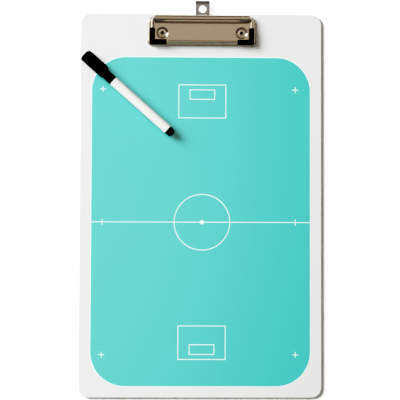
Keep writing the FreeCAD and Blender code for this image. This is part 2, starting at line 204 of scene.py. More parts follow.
# %% Sizes of the clip, read from the frame
sheet = 0.8 * mm
plate_low, plate_high = (np.array(corner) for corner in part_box("clip_plate"))
hinge = np.array(joints["bail_lift"]["pos_m"])
roll_radius = plate_high[2] - hinge[2]
roll_length = 98.8 * mm
shoulder_rise = 2.8 * mm
shoulder_radius = 6.6 * mm
foot_radius = 4.6 * mm
rim_radius = 1.5 * mm
plate_mid = hinge[2] - roll_radius + sheet / 2
board_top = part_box("front_laminate")[1].z
roll_left, roll_right = hinge[0] - roll_length / 2, hinge[0] + roll_length / 2
print("clip:", np.round((plate_high - plate_low) / mm, 2), "mm, roll radius", round(roll_radius / mm, 2))

# %% Outline of the tray
grid_step, outline_step = 0.42 * mm, 0.05 * mm
side_count, corner_steps = 71, 12
low_x, low_y = plate_low[:2] + sheet / 2
high_x = plate_high[0] - sheet / 2
shoulder_y = hinge[1] + shoulder_rise - sheet / 2
notch = [(roll_left, shoulder_y), (roll_left, hinge[1]), (roll_right, hinge[1]), (roll_right, shoulder_y)]


def tray_border():
    """Outline of the tray, closed and clockwise from the middle of its foot, with the roll's notch on top."""
    corners = [(hinge[0], low_y), (low_x, low_y), (low_x, shoulder_y), *notch,
               (high_x, shoulder_y), (high_x, low_y), (hinge[0], low_y)]
    radii = [foot_radius, shoulder_radius] + len(notch) * [0] + [shoulder_radius, foot_radius]
    return dense(rounded(corners, radii, corner_steps), outline_step)


def four_sides(line):
    """Left, top, right and foot, cut where the outline reaches furthest along each diagonal.
    The top keeps its notch."""
    reach = reach_along(line)
    diagonals = np.array([[-1, -1], [-1, 1], [1, 1], [1, -1]])
    cuts = [reach[np.argmax(line @ diagonal)] for diagonal in diagonals]
    steps = [reach[np.argmin(np.linalg.norm(line - corner, axis=1))] for corner in notch]
    left = np.linspace(cuts[0], cuts[1], side_count)
    top = between(np.array([cuts[1], *steps, cuts[2]]), grid_step)
    right = np.linspace(cuts[2], cuts[3], side_count)
    foot = np.linspace(cuts[3], cuts[0] + reach[-1], len(top)) % reach[-1]
    return [at_reach(line, marks) for marks in (left, top, right, foot)]


sides = four_sides(tray_border())
border = np.concatenate([side[:-1] for side in sides])
print("tray outline:", [len(side) for side in sides], "points on its sides")

# %% Rim of the tray
wall_gap, rim_fade = 0.05 * mm, 3.0 * mm
rim_steps = 8


def smooth(share):
    """Smooth step: 0 below 0, 1 above 1, and 3 s^2 - 2 s^3 between."""
    share = np.clip(share, 0, 1)
    return share * share * (3 - 2 * share)


def tray_rim(border):
    """Wall and quarter circle carried round the outline. The rim fades to nothing along the roll's notch."""
    ahead = unit(np.roll(border, -1, axis=0) - np.roll(border, 1, axis=0))
    inward = np.stack([ahead[:, 1], -ahead[:, 0]], axis=1)
    beside_roll = (np.abs(border[:, 0] - hinge[0]) - roll_length / 2) / rim_fade
    turned = np.where(border[:, 1] < hinge[1] - rim_fade, 1, smooth(beside_roll))[:, None]
    angle = np.linspace(0, math.pi / 2, rim_steps + 1)
    inset = np.concatenate([[0], rim_radius * (1 - np.cos(angle))])
    wall = plate_mid - board_top - wall_gap
    drop = np.concatenate([[wall], rim_radius * (1 - np.sin(angle))])
    plan = border[:, None] + inward[:, None] * (inset * turned)[..., None]
    return np.concatenate([plan, (plate_mid - drop * turned)[..., None]], axis=-1)


rim = tray_rim(border)
print("rim:", rim.shape[:2], "grid")

# %% Patch between four borders
def coons_patch(foot, top, left, right):
    """Coons patch: foot to top blended in t, plus left to right in s, less the four corners' blend."""
    s = np.linspace(0, 1, len(foot))[:, None, None]
    t = np.linspace(0, 1, len(left))[None, :, None]
    rise = (1 - t) * foot[:, None] + t * top[:, None]
    cross = (1 - s) * left[None] + s * right[None]
    ends = (1 - s) * ((1 - t) * foot[0] + t * top[0]) + s * ((1 - t) * foot[-1] + t * top[-1])
    return rise + cross - ends


# %% Floor of the tray
dish_places = [np.array(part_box(name)[0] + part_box(name)[1])[:2] / 2 for name in ("left_rivet", "right_rivet")]
dish_floor, dish_mouth = 4.3 * mm, 6.4 * mm
dish_depth = plate_mid - sheet / 2 - board_top
rivet_hole, snap_reach = 2.05 * mm, 0.3 * mm
hole_share = 0.98


def tray_floor(rim):
    """Floor inside the rim: flat, but sunk by a smooth step round each rivet. Points near a rivet hole snap
    to it, and the quads inside it are left out."""
    loop = np.concatenate([rim[:, -1], rim[:1, -1]])
    ends = np.cumsum([0] + [len(side) - 1 for side in sides])
    left, top, right, foot = (loop[ends[k]:ends[k + 1] + 1] for k in range(4))
    floor = coons_patch(foot[::-1], top, left, right[::-1])
    for place in dish_places:
        arm = floor[..., :2] - place
        radius = np.linalg.norm(arm, axis=-1)
        floor[..., 2] -= dish_depth * smooth((dish_mouth - radius) / (dish_mouth - dish_floor))
        near = np.abs(radius - rivet_hole) < snap_reach
        floor[near, :2] = place + arm[near] / radius[near][:, None] * rivet_hole
    middle = (floor[:-1, :-1] + floor[1:, 1:])[..., :2].reshape(-1, 2) / 2
    apart = [np.linalg.norm(middle - place, axis=1) for place in dish_places]
    return floor, np.minimum(*apart) > rivet_hole * hole_share


floor, floor_kept = tray_floor(rim)
print("floor:", floor.shape[:2], "grid,", int((~floor_kept).sum()), "quads cut for the rivets")

# %% [markdown]
# ### The curl
# The back edge of the sheet is rolled one and a half turns round the wire, as a hem is rolled round a cord.
# Half circles, each a little smaller than the last, make the spiral that a curling die leaves. Between its
# ends the die also presses the front flat, into a step that stiffens the tube and shows as a bright stripe.
# A Screw modifier could roll the edge, but its rows wouldn't meet the points of the tray, and these do.

# %% Front of the curl
curl_pitch = 0.9 * mm
step_drop, step_depth, hem_front = 1.4 * mm, 2.0 * mm, 1.7 * mm
hem_radii = np.array([0.95, 0.4, 0.4, 0.5]) * mm


def hem_front_line(count):
    """Front of the curl from its crest down to the tray, as (y, z): a round, a flat step and a wall."""
    crest = hinge[2] + roll_radius - sheet / 2
    foot = hinge[2] - roll_radius + curl_pitch + sheet / 2
    near, far = hinge[1] - hem_front, hinge[1] - hem_front - step_depth
    corners = [(hinge[1], crest), (near, crest), (near, crest - step_drop), (far, crest - step_drop),
               (far, foot), (hinge[1], foot)]
    line = rounded(corners, hem_radii)
    return at_reach(line, np.linspace(0, reach_along(line)[-1], count))


# %% Curl along the back edge
back_bulge, front_bulge = 1.1, 1.3
step_inset, step_fade = 1.0 * mm, 13 * mm
turn_steps = 24
seam_reach = 0.001 * mm


def curled_edge(stations):
    """Half circles about the hinge, each half a pitch smaller than the last, carried along X at the stations.
    The outer two are pressed a little wider than high. Between the curl's ends, the front one blends into the
    hem with its flat step."""
    angle = np.radians(np.concatenate([
        np.linspace(-90, 90, turn_steps + 1), np.linspace(90, 270, 2 * turn_steps + 1)[1:],
        np.linspace(270, 450, turn_steps + 1)[1:]]))
    half_turn = np.clip(np.floor((np.degrees(angle) + 90 - 1e-6) / 180), 0, 2).astype(int)
    radius = roll_radius - sheet / 2 - half_turn * curl_pitch / 2
    y = hinge[1] + radius * np.cos(angle) * np.choose(half_turn, [back_bulge, front_bulge, 1])
    z = hinge[2] + (half_turn % 2) * curl_pitch / 2 + radius * np.sin(angle)
    front = half_turn == 1
    spiral = np.stack([y, z], axis=1)
    hem = spiral.copy()
    hem[front] = hem_front_line(front.sum() + 1)[1:]
    inside = roll_length / 2 - np.abs(stations - hinge[0])
    share = smooth((inside - step_inset) / step_fade)[:, None, None]
    section = (1 - share) * spiral + share * hem
    x = np.broadcast_to(stations[:, None, None], section[..., :1].shape)
    return np.concatenate([x, section], axis=-1)


on_seam = np.abs(border[:, 1] - hinge[1]) < seam_reach
curl = curled_edge(np.sort(border[on_seam, 0]))
clip_plate = new_piece("curled_clip_plate", (rim, True, None), (floor, False, floor_kept),
                       (curl, False, None))
print("curl:", curl.shape[:2], "grid; plate:", len(clip_plate.data.polygons), "faces before thickening")

# %% Give the sheet its thickness
def applied(piece):
    """Writes the result of the piece's modifiers into its own mesh."""
    graph = bpy.context.evaluated_depsgraph_get()
    done = bpy.data.meshes.new_from_object(piece.evaluated_get(graph))
    piece.modifiers.clear()
    piece.data = done
    shade_softly(done)


def thicken(piece, thickness):
    """Sheet of even thickness about its middle surface, by Solidify."""
    wall = piece.modifiers.new("sheet", "SOLIDIFY")
    wall.thickness = thickness
    wall.offset = 0
    wall.use_even_offset = True
    applied(piece)


def stands_for(piece, node, body):
    """The piece takes the place of a CAD node, which is hidden, and rides on its body."""
    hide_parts(node)
    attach(piece, body)
    print(piece.name, "stands for", node, "with", len(piece.data.polygons), "faces")


thicken(clip_plate, sheet)
stands_for(clip_plate, "clip_plate", "board")

# %% [markdown]
# ## The bail and its grips
# One spring wire makes the bail: its two legs run inside the curl, bend out and down, and meet along the foot
# of the plate. Rubber sleeves on the lower corners keep it from scratching, and they are moulded with square
# outer corners. A bevelled curve would give the same tube, but here the circle is carried along the path, so its
# ends can be rounded in the profile and the sleeve's outside can be drawn out to its corner.

# %% Bail wire
wire_low, wire_high = (np.array(corner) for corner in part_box("bail_wire"))
wire_radius = (wire_high[2] - wire_low[2]) / 2
bail_left, bail_right = wire_low[0] + wire_radius, wire_high[0] - wire_radius
bail_foot = wire_low[1] + wire_radius
bend_radius, bend_steps = 2.8 * mm, 24
leg_gap, wire_soft, wire_step = 8.0 * mm, 0.3 * mm, 0.5 * mm
wire_around = 32


def bail_path():
    """Centre line of the wire: straight runs joined by arcs, from one leg's end in the curl to the other."""
    z = hinge[2]
    corners = [
        (hinge[0] - leg_gap / 2, hinge[1], z), (bail_left, hinge[1], z), (bail_left, bail_foot, z),
        (bail_right, bail_foot, z), (bail_right, hinge[1], z), (hinge[0] + leg_gap / 2, hinge[1], z),
    ]
    return dense(rounded(corners, bend_radius, bend_steps), wire_step)


def rod_profile(length, radius, soft):
    """Straight rod with rounded ends, as (station, radius) points from axis to axis."""
    corners = [(0, 0), (0, radius), (length, radius), (length, 0)]
    return dense(rounded(corners, soft), wire_step)


path = bail_path()
profile = rod_profile(reach_along(path)[-1], wire_radius, wire_soft)
bail_wire = new_piece("bent_bail_wire", (carried(profile, path, wire_around), True, None))
stands_for(bail_wire, "bail_wire", "bail")

# %% Sleeve of a grip
grip_fit, grip_soft, mouth_soft = 0.03 * mm, 0.45 * mm, 0.1 * mm
grip_step, corner_fade = 0.4 * mm, 2.0 * mm
corner_power = 9


def grip_profile(length, radius):
    """Sleeve with rounded mouths: bore, end face, outside, end face and bore again, as a closed line."""
    bore = wire_radius + grip_fit
    middle = length / 2
    corners = [(middle, bore), (0, bore), (0, radius), (length, radius), (length, bore), (middle, bore)]
    return dense(rounded(corners, [mouth_soft, grip_soft, grip_soft, mouth_soft]), grip_step)


def squared(points, centre, outside):
    """Draws the outer half of a bend out towards its square corner. With u and v as the distances outwards
    from the bend's centre, a circle u^2 + v^2 becomes u^p + v^p, fully at the outside and not at all at
    bend_radius."""
    out = np.clip((points[..., :2] - centre) * outside, 0, None)
    radius = np.linalg.norm(out, axis=-1, keepdims=True)
    both = (out.min(axis=-1, keepdims=True) > 0) & (radius > bend_radius)
    share = out / np.where(both, radius, 1)
    stretch = np.where(both, (share ** corner_power).sum(-1, keepdims=True), 1) ** (-1 / corner_power)
    grown = 1 + (stretch - 1) * smooth((radius - bend_radius) / corner_fade) * both
    moved = centre + (points[..., :2] - centre) * grown
    return np.concatenate([moved, points[..., 2:]], axis=-1)


# %% Corner grips
def make_grip(name, node):
    """Sleeve carried round the bail's lower corner and squared there, as long each way as the CAD grip."""
    low, high = (np.array(corner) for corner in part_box(node))
    radius = (high[2] - low[2]) / 2
    outer_x = low[0] + radius if node.startswith("left") else high[0] - radius
    inner_x = high[0] if node.startswith("left") else low[0]
    z = hinge[2]
    corners = [(outer_x, high[1], z), (outer_x, low[1] + radius, z), (inner_x, low[1] + radius, z)]
    path = dense(rounded(corners, bend_radius, bend_steps), grip_step)
    profile = grip_profile(reach_along(path)[-1], radius)
    outside = np.array([np.sign(outer_x - inner_x), -1])
    centre = np.array([outer_x, low[1] + radius]) - bend_radius * outside
    sleeve = squared(carried(profile, path), centre, outside)
    grip = new_piece(name, (sleeve, True, None))
    stands_for(grip, node, "bail")
    return grip


grips = [make_grip(side + "_rubber_grip", side + "_corner_grip") for side in ("left", "right")]

# %% [markdown]
# ## The rivets
# A tubular rivet is a little tube with a head. It goes through from the back, and a tool rolls its free end
# outwards into a rim. Turned shapes like this one are a profile carried round a straight axis, so the same
# function that made the wire makes the rivet, with the profile written from the bore outwards. An attribute
# marks the narrow bore's wall, and the finish paints it near black there, as painted shade in the hole:
# painting it by hand would too, but the attribute follows from the radius.

# %% Tubular rivets
rivet_bore, rivet_rim, rivet_shank, rivet_head = 1.6 * mm, 2.9 * mm, 2.0 * mm, 0.7 * mm
rivet_radii = np.array([0.2, 0.33, 0.33, 0.05, 0.1, 0.2, 0.2, 0.2]) * mm
rivet_seat = board_top + sheet
bore_reach = rivet_bore + 0.01 * mm


def make_rivet(name, node):
    """Closed profile of bore, rolled rim, shank and head, as (height, radius), turned about the axis."""
    low, high = (np.array(corner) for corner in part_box(node))
    head = (high[0] - low[0]) / 2
    head_top = low[2] + rivet_head
    corners = [
        (low[2], rivet_bore), (high[2], rivet_bore), (high[2], rivet_rim), (rivet_seat, rivet_rim),
        (rivet_seat, rivet_shank), (head_top, rivet_shank), (head_top, head), (low[2], head),
    ]
    profile = rounded(corners, rivet_radii, closed=True)
    profile = np.concatenate([profile, profile[:1]])
    profile[:, 0] -= low[2]
    foot_point = np.array([*(low + high)[:2] / 2, low[2]])
    axis = np.stack([foot_point, foot_point + [0, 0, high[2] - low[2]]])
    rivet = new_piece(name, (carried(profile, axis, up=(0, 1, 0)), True, None))
    # The bore's wall is marked for the nickel finish, which paints shade on it.
    apart = np.linalg.norm(mesh_points(rivet.data)[:, :2] - foot_point[:2], axis=1)
    bare = rivet.data.attributes.new("bare", "FLOAT", "POINT")
    bare.data.foreach_set("value", (apart < bore_reach).astype(np.float32))
    stands_for(rivet, node, "board")
    return rivet


rivets = [make_rivet(side + "_rolled_rivet", side + "_rivet") for side in ("left", "right")]

# %% [markdown]
# ## The hanging tab
# A strip of the same sheet slides out under the curl. It has a round hole for a hook, two springy legs with
# hooks of their own, and a lip to pull on. Cutting the hole with a Boolean would leave ragged faces, so the
# head is a ring of quads from the hole's circle out to its straight edges, and legs and lip join on to it.

# %% Sizes of the tab
tab_low, tab_high = (np.array(corner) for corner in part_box("hang_tab"))
hole = next(mount for mount in frame["record"]["mounts"] if mount["name"] == "hang_hole")
hole_place = np.array(hole["pos_m"])[:2]
hole_radius = hole["dims"]["r_mm"] * mm
tab_half, tab_leg, tab_bridge = 7.4 * mm, 3.1 * mm, 1.3 * mm
hook_length, lip_bend, lip_crown = 1.5 * mm, 2.1 * mm, 0.8 * mm
tab_mid = hole["pos_m"][2]
print("tab:", np.round((tab_high - tab_low) / mm, 2), "mm, hole radius", round(hole_radius / mm, 2))

# %% Sheet round a hole
def ring_patch(border, centre, radius, count=10):
    """Ruled surface from a circle out to a border: each border point is joined to the circle on its ray."""
    share = np.linspace(0, 1, count)[None, :, None]
    circle = centre + radius * unit(border - centre)
    return (1 - share) * circle[:, None] + share * border[:, None]


def lifted(plan, z):
    """Points in the plan (x, y) raised to the height z."""
    return np.concatenate([plan, np.broadcast_to(z, plan.shape[:-1])[..., None]], axis=-1)


# %% Stamped and bent tab
tab_step, lip_bend_steps, lip_wall_steps = 0.3 * mm, 9, 4


def tab_sheet():
    """Three grids: the head round the hole, the legs with hooks, and the lip, a quarter circle and a wall."""
    centre_x = hole_place[0]
    leg_edge = tab_half - tab_leg
    left, right = centre_x - tab_half, centre_x + tab_half
    bend_start = tab_high[1] - sheet / 2 - lip_bend
    slot_top = hole_place[1] - hole_radius - tab_bridge
    hook_top = tab_low[1] + hook_length
    x = between(np.array([left, centre_x - leg_edge, centre_x + leg_edge, right]), tab_step)
    y = between(np.array([slot_top, bend_start]), tab_step)[1:-1]
    border = np.concatenate([np.stack(np.broadcast_arrays(*edge), axis=1) for edge in (
        (x, slot_top), (right, y), (x[::-1], bend_start), (left, y[::-1]))])
    head = lifted(ring_patch(border, hole_place, hole_radius), tab_mid)

    wide = np.concatenate([between(np.array([tab_low[0], left]), tab_step)[:-1], x,
                           between(np.array([right, tab_high[0]]), tab_step)[1:]])
    down = between(np.array([tab_low[1], hook_top, slot_top]), tab_step)
    legs = lifted(np.stack(np.meshgrid(wide, down, indexing="ij"), axis=-1), tab_mid)
    middle = (legs[:-1, :-1] + legs[1:, 1:]).reshape(-1, 3) / 2
    aside = np.abs(middle[:, 0] - centre_x)
    kept = (aside > leg_edge) & ((aside < tab_half) | (middle[:, 1] < hook_top))

    angle = np.linspace(0, math.pi / 2, lip_bend_steps + 1)
    share = np.linspace(0, 1, lip_wall_steps + 1)[1:]
    wall = tab_high[2] - tab_mid - lip_bend - lip_crown * ((x - centre_x) / tab_half) ** 2
    rise = np.concatenate([np.broadcast_to(lip_bend * (1 - np.cos(angle)), (len(x), len(angle))),
                           lip_bend + wall[:, None] * share], axis=1)
    out = bend_start + np.concatenate([lip_bend * np.sin(angle), np.full(len(share), lip_bend)])
    lip = lifted(np.stack(np.broadcast_arrays(x[:, None], out), axis=-1), tab_mid + rise)
    return (head, True, None), (legs, False, kept), (lip, False, None)


hang_tab = new_piece("stamped_hang_tab", *tab_sheet())
thicken(hang_tab, sheet)
stands_for(hang_tab, "hang_tab", "hanger")

# %% [markdown]
# ## The marker
# A slim whiteboard marker: black cap with a pocket clip, black front section, white barrel and black plug.
# Its pieces are turned shapes on one slanted axis. The axis comes from the joint that pulls the cap off, and
# each piece's stations along it are measured on its CAD mesh, so nothing has to be fitted by eye.

# %% The marker's axis and stations
marker_heading = -unit(np.array(joints["cap_pull"]["axis"]))
marker_side = np.array([-marker_heading[1], marker_heading[0], 0])
barrel_low, barrel_high = (np.array(corner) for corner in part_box("marker_barrel"))
axis_point = (barrel_low + barrel_high) / 2


def span(node):
    """First and last station of a node along the marker's axis, from the barrel's middle."""
    stations = (mesh_points(nodes[node].data) - axis_point) @ marker_heading
    return np.array([stations.min(), stations.max()])


axis_overrun = 1.0 * mm
cap_end = span("marker_cap")[0]
origin = axis_point + cap_end * marker_heading
cap_span, section_span, nib_span, barrel_span, plug_span = (
    span("marker_" + name) - cap_end for name in ("cap", "front_section", "nib", "barrel", "end_plug"))
marker_axis = np.stack([origin, origin + (plug_span[1] + axis_overrun) * marker_heading])
print("marker stations in mm:", np.round(np.array([cap_span, section_span, barrel_span, plug_span]) / mm, 2))

# %% Turning a marker piece
marker_step, marker_around = 1.5 * mm, 72


def turned_grid(corners, radii):
    """Profile of (station, radius) corners, rounded and turned about the marker's axis."""
    return carried(dense(rounded(corners, radii), marker_step), marker_axis, marker_around), True, None


def turned(name, corners, radii):
    """Piece of one turned grid."""
    return new_piece(name, turned_grid(corners, radii))


# %% Sizes of the pocket clip
cap_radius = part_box("marker_cap")[1].z - axis_point[2]
clip_gap, clip_thickness, clip_half_width = 0.95 * mm, 1.3 * mm, 1.75 * mm
clip_setback, clip_rest_gap = 1.6 * mm, 0.25 * mm
clip_root, root_fade, root_sink = 4.0 * mm, 1.5 * mm, 0.6 * mm
clip_bump, bump_length, bump_share = 0.5 * mm, 1.1 * mm, 0.93
heel_length, heel_width, heel_height = 0.5 * mm, 0.75, 0.4
clip_length = cap_span[1] - clip_setback
clip_outside = cap_radius + clip_gap + clip_thickness
clip_rest = axis_point[2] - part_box("field_print")[1].z - clip_rest_gap
clip_lean = math.asin(clip_rest / math.hypot(clip_outside, clip_half_width))
clip_droop = clip_lean - math.atan2(clip_half_width, clip_outside)
print("pocket clip:", round(clip_length / mm, 2), "mm long, drooping",
      round(math.degrees(clip_droop), 1), "degrees")

# %% Pocket clip
clip_power, clip_rows, clip_around = 0.45, 90, 48


def pocket_clip():
    """Strip whose section is a rounded box (a superellipse) from inner to outer radius at each station.
    Bump and root are a bell curve and a smooth step in the inner radius, tip and heel quarter circles."""
    share = np.linspace(0, 1, clip_rows)
    station = clip_length * (0.5 - 0.5 * np.cos(math.pi * share))
    bump = np.exp(-((station - bump_share * clip_length) / bump_length) ** 2)
    root = smooth((clip_root - station) / root_fade)
    inner = cap_radius + clip_gap - clip_bump * bump - (clip_gap + root_sink) * root
    near_tip = np.clip((station - clip_length + clip_half_width) / clip_half_width, 0, 1)
    near_heel = np.clip(1 - station / heel_length, 0, 1)
    tip, heel = np.sqrt(1 - near_tip ** 2), np.sqrt(1 - near_heel ** 2)
    width = clip_half_width * tip * (heel_width + (1 - heel_width) * heel)
    half = (clip_outside - inner) / 2 * np.minimum(np.sqrt(tip), heel_height + (1 - heel_height) * heel)
    angle = np.linspace(0, 2 * math.pi, clip_around, endpoint=False)[:, None]
    across = width * np.sign(np.cos(angle)) * np.abs(np.cos(angle)) ** clip_power
    height = (clip_outside + inner) / 2 + half * np.sign(np.sin(angle)) * np.abs(np.sin(angle)) ** clip_power
    outward = math.cos(clip_droop) * marker_side - math.sin(clip_droop) * np.array([0, 0, 1])
    aside = np.cross(outward, marker_heading)
    strip = station[None, :, None] * marker_heading + height[..., None] * outward + across[..., None] * aside
    ends = strip.mean(axis=0)
    closed = np.concatenate([np.broadcast_to(ends[0], strip[:, :1].shape), strip,
                             np.broadcast_to(ends[-1], strip[:, :1].shape)], axis=1)
    return origin + closed


# %% Cap
cap_length, cap_wall, cap_bore = cap_span[1], 1.6 * mm, 3.98 * mm
cap_radii = np.array([0.2, 0.3, 0.2, 0.3]) * mm
cap_shell = turned_grid([
    (0, 0), (0, cap_radius), (cap_length, cap_radius), (cap_length, cap_bore), (cap_wall, cap_bore),
    (cap_wall, 0),
], cap_radii)
cap = new_piece("moulded_cap", cap_shell, (pocket_clip(), True, None))
stands_for(cap, "marker_cap", "cap")

# %% Front section and nib
section_bore, section_tip, section_base, section_spigot = (r * mm for r in (1.35, 2.05, 3.4, 3.9))
collar_radius, tail_radius = 4.85 * mm, 4.07 * mm
cap_stop_gap, nose_length = 0.1 * mm, 8.0 * mm
section_radii = np.array([0.1, 0.3, 0.6, 0.3, 0.1, 0.25, 0.15, 0.1, 0.3]) * mm
collar_start, nose_end = cap_length + cap_stop_gap, section_span[0] + nose_length
barrel_start, barrel_end = barrel_span
section = turned("moulded_front_section", [
    (section_span[1], section_bore), (section_span[0], section_bore), (section_span[0], section_tip),
    (nose_end, section_base), (nose_end, section_spigot), (collar_start, section_spigot),
    (collar_start, collar_radius), (barrel_start, collar_radius), (barrel_start, tail_radius),
    (section_span[1], tail_radius), (section_span[1], section_bore),
], section_radii)
stands_for(section, "marker_front_section", "marker")

nib_radius, nib_round, nib_heel = 1.3 * mm, 1.1 * mm, 0.1 * mm
nib = turned("bullet_nib", [
    (nib_span[0], 0), (nib_span[0], nib_radius), (nib_span[1], nib_radius), (nib_span[1], 0),
], [nib_round, nib_heel])
stands_for(nib, "marker_nib", "marker")

# %% Barrel and plug
barrel_radius, barrel_bore = axis_point[2] - barrel_low[2], 4.1 * mm
barrel_radii = np.array([0.1, 0.35, 0.35, 0.1]) * mm
barrel_middle = (barrel_start + barrel_end) / 2
barrel = turned("gloss_barrel", [
    (barrel_middle, barrel_bore), (barrel_start, barrel_bore), (barrel_start, barrel_radius),
    (barrel_end, barrel_radius), (barrel_end, barrel_bore), (barrel_middle, barrel_bore),
], barrel_radii)
stands_for(barrel, "marker_barrel", "marker")

flange_radius, flange_length, boss_radius = 4.8 * mm, 0.8 * mm, 4.25 * mm
plug_bore, plug_end = 3.07 * mm, plug_span[1]
plug_radii = np.array([0.1, 0.2, 0.3, 0.1, 0.25, 0.3, 0.2, 1.6]) * mm
flange_end = barrel_end + flange_length
plug = turned("moulded_end_plug", [
    (barrel_end, 0), (barrel_end, plug_bore), (plug_span[0], plug_bore), (plug_span[0], tail_radius),
    (barrel_end, tail_radius), (barrel_end, flange_radius), (flange_end, flange_radius),
    (flange_end, boss_radius), (plug_end, boss_radius), (plug_end, 0),
], plug_radii)
stands_for(plug, "marker_end_plug", "marker")

# %% [markdown]
# ## Shader maths
# A finish is a small network of nodes. Drawing it in the node editor is good for trying things out, but in a
# script every sum would take several lines. So one small class wraps a socket: a sum written in Python adds
# the Math nodes, and one method adds a node of any other type.

# %% A socket to reckon with
class Link:
    """An output in a node tree. Sums on it add Math nodes, and node() adds a node of any other type."""

    def __init__(self, tree, socket=None):
        self.tree, self.socket = tree, socket

    def node(self, kind, settings, sockets, output=0):
        """New node of a type: its settings are set first, then the values or links of its sockets."""
        made = self.tree.nodes.new("ShaderNode" + kind)
        for name, value in settings.items():
            setattr(made, name, value)
        for name, value in sockets.items():
            if isinstance(value, Link):
                self.tree.links.new(value.socket, made.inputs[name])
            else:
                made.inputs[name].default_value = value
        return Link(self.tree, made.outputs[output])

    def math(self, operation, first, second):
        """Math node on two values or links."""
        return self.node("Math", {"operation": operation}, {0: first, 1: second})

    def __add__(self, other):
        return self.math("ADD", self, other)

    def __sub__(self, other):
        return self.math("SUBTRACT", self, other)

    def __rsub__(self, other):
        return self.math("SUBTRACT", other, self)

    def __mul__(self, other):
        return self.math("MULTIPLY", self, other)

    __radd__, __rmul__ = __add__, __mul__

    def mix(self, first, second):
        """Colour between two others: this value is the share of the second."""
        return self.node("Mix", {"data_type": "RGBA"}, {0: self, 6: first, 7: second}, 2)

    def step(self, low, high):
        """Smooth step of this value from 0 at low to 1 at high."""
        sockets = {"Value": self, "From Min": low, "From Max": high}
        return self.node("MapRange", {"interpolation_type": "SMOOTHSTEP"}, sockets)

    def noise(self, size, turn=0.0, detail=3.0):
        """Noise from 0 to 1 on the piece's own coordinates. Its grains have one size, or one along each axis,
        and are turned by turn."""
        place = self.node("TexCoord", {}, {}, "Object")
        sockets = {"Vector": place, "Rotation": (0, 0, turn), "Scale": tuple(np.broadcast_to(size, 3))}
        scaled = self.node("Mapping", {"vector_type": "TEXTURE"}, sockets)
        return self.node("TexNoise", {}, {"Vector": scaled, "Scale": 1.0, "Detail": detail})

    def relief(self, depth):
        """Surface normal bent by this value as a height, with depth as the size of one unit."""
        return self.node("Bump", {}, {"Height": self, "Distance": depth}, "Normal")


# %% Making and giving a finish
def new_finish(name, constants):
    """New material: its shader gets the values that are the same all over, and a link starts its tree."""
    finish = bpy.data.materials.new(name)
    finish.use_nodes = True
    shader = finish.node_tree.nodes["Principled BSDF"]
    for socket, value in constants.items():
        shader.inputs[socket].default_value = value
    return finish, Link(finish.node_tree)


def feed(finish, colour, roughness, normal):
    """Links that change over the surface, into the shader."""
    tree = finish.node_tree
    sockets = tree.nodes["Principled BSDF"].inputs
    for name, link in (("Base Color", colour), ("Roughness", roughness), ("Normal", normal)):
        tree.links.new(link.socket, sockets[name])


def dress(finish, *pieces):
    """Puts the finish in every material slot of the pieces. A new piece has no slot yet, so it gets one."""
    for piece in pieces:
        if not piece.material_slots:
            piece.data.materials.append(finish)
        for slot in piece.material_slots:
            slot.material = finish
    print(finish.name, "on", ", ".join(piece.name for piece in pieces))


def shade(colour, factor):
    """Colour with each part multiplied by the factor."""
    return (*(part * factor for part in colour[:3]), 1.0)


def two_shades(colour, change):
    """A darker and a lighter shade of the colour, as far from it as change."""
    return shade(colour, 1 - change), shade(colour, 1 + change)


# %% [markdown]
# ## The board's faces
# A dry-erase face is a printed sheet under a hard clear coat. Close up, the coat has a faint orange-peel
# ripple, and wiping leaves long, barely visible streaks that change the gloss more than the colour. White and
# turquoise are the same laminate, so one function makes both, and only the ink differs. Under the field lies
# a brighter, opaque white that shows in the lines and as a hairline round the print. Its outline is a rounded
# rectangle, which is every place within one radius of a smaller rectangle, so a few vector nodes find it.
# The coat's roughness stays under 0.27 all over: from about there on, the filter that cleans up a render
# takes gloss for a matt surface, and streaks that cross the limit stand out like scratches.

# %% Where the field lies
field_low, field_high = (np.array(corner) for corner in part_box("field_print"))
field_radius, hairline, outline_soft = 35.4 * mm, 1.0 * mm, 0.1 * mm
any_height = 1.0


def in_field(start):
    """1 inside the field's outline, grown by a hairline, and 0 outside it, from the distance to its core."""
    centre, half = (field_low + field_high) / 2, (field_high - field_low) / 2
    place = start.node("TexCoord", {}, {}, "Object")
    core = (*(half - field_radius)[:2], any_height)
    steps = [("SUBTRACT", tuple(centre)), ("ABSOLUTE", None), ("SUBTRACT", core), ("MAXIMUM", (0, 0, 0))]
    for operation, value in steps:
        sockets = {0: place} if value is None else {0: place, 1: value}
        place = start.node("VectorMath", {"operation": operation}, sockets)
    away = start.node("VectorMath", {"operation": "LENGTH"}, {0: place}, "Value")
    edge = field_radius + hairline
    return 1 - away.step(edge - outline_soft, edge + outline_soft)


# %% Dry-erase laminate
wipe_size, wipe_turn = (90 * mm, 2.5 * mm, 20 * mm), math.radians(24)
ink_change = 0.015
coat_roughness, wipe_change, cloud_change = 0.24, 0.012, 0.02
peel_depth = 0.004 * mm


def laminate(name, ink, line_ink=None):
    """Coated print: cloudy ink, wiping streaks in the gloss and an orange-peel ripple.
    Line_ink lies in the field, where it is given."""
    finish, start = new_finish(name, {"IOR": 1.5})
    clouds = start.noise(60 * mm)
    specks = start.noise(0.9 * mm, detail=1.0)
    streaks = start.noise(wipe_size, wipe_turn).step(0.45, 0.75)
    tone = clouds * 0.7 + specks * 0.3
    colour = tone.mix(*two_shades(ink, ink_change))
    if line_ink:
        colour = in_field(start).mix(colour, tone.mix(*two_shades(line_ink, ink_change)))
    roughness = streaks * wipe_change + clouds * cloud_change + coat_roughness
    peel = start.noise(1.4 * mm, detail=1.0)
    feed(finish, colour, roughness, peel.relief(peel_depth))
    return finish


white_ink, line_ink = (0.708, 0.72, 0.724), (0.74, 0.95, 0.945)
turquoise_ink = (0.092, 0.5, 0.472)
dress(laminate("white_laminate", white_ink, line_ink), nodes["front_laminate"])
dress(laminate("white_back", white_ink), nodes["back_laminate"])
dress(laminate("turquoise_print", turquoise_ink), nodes["field_print"])

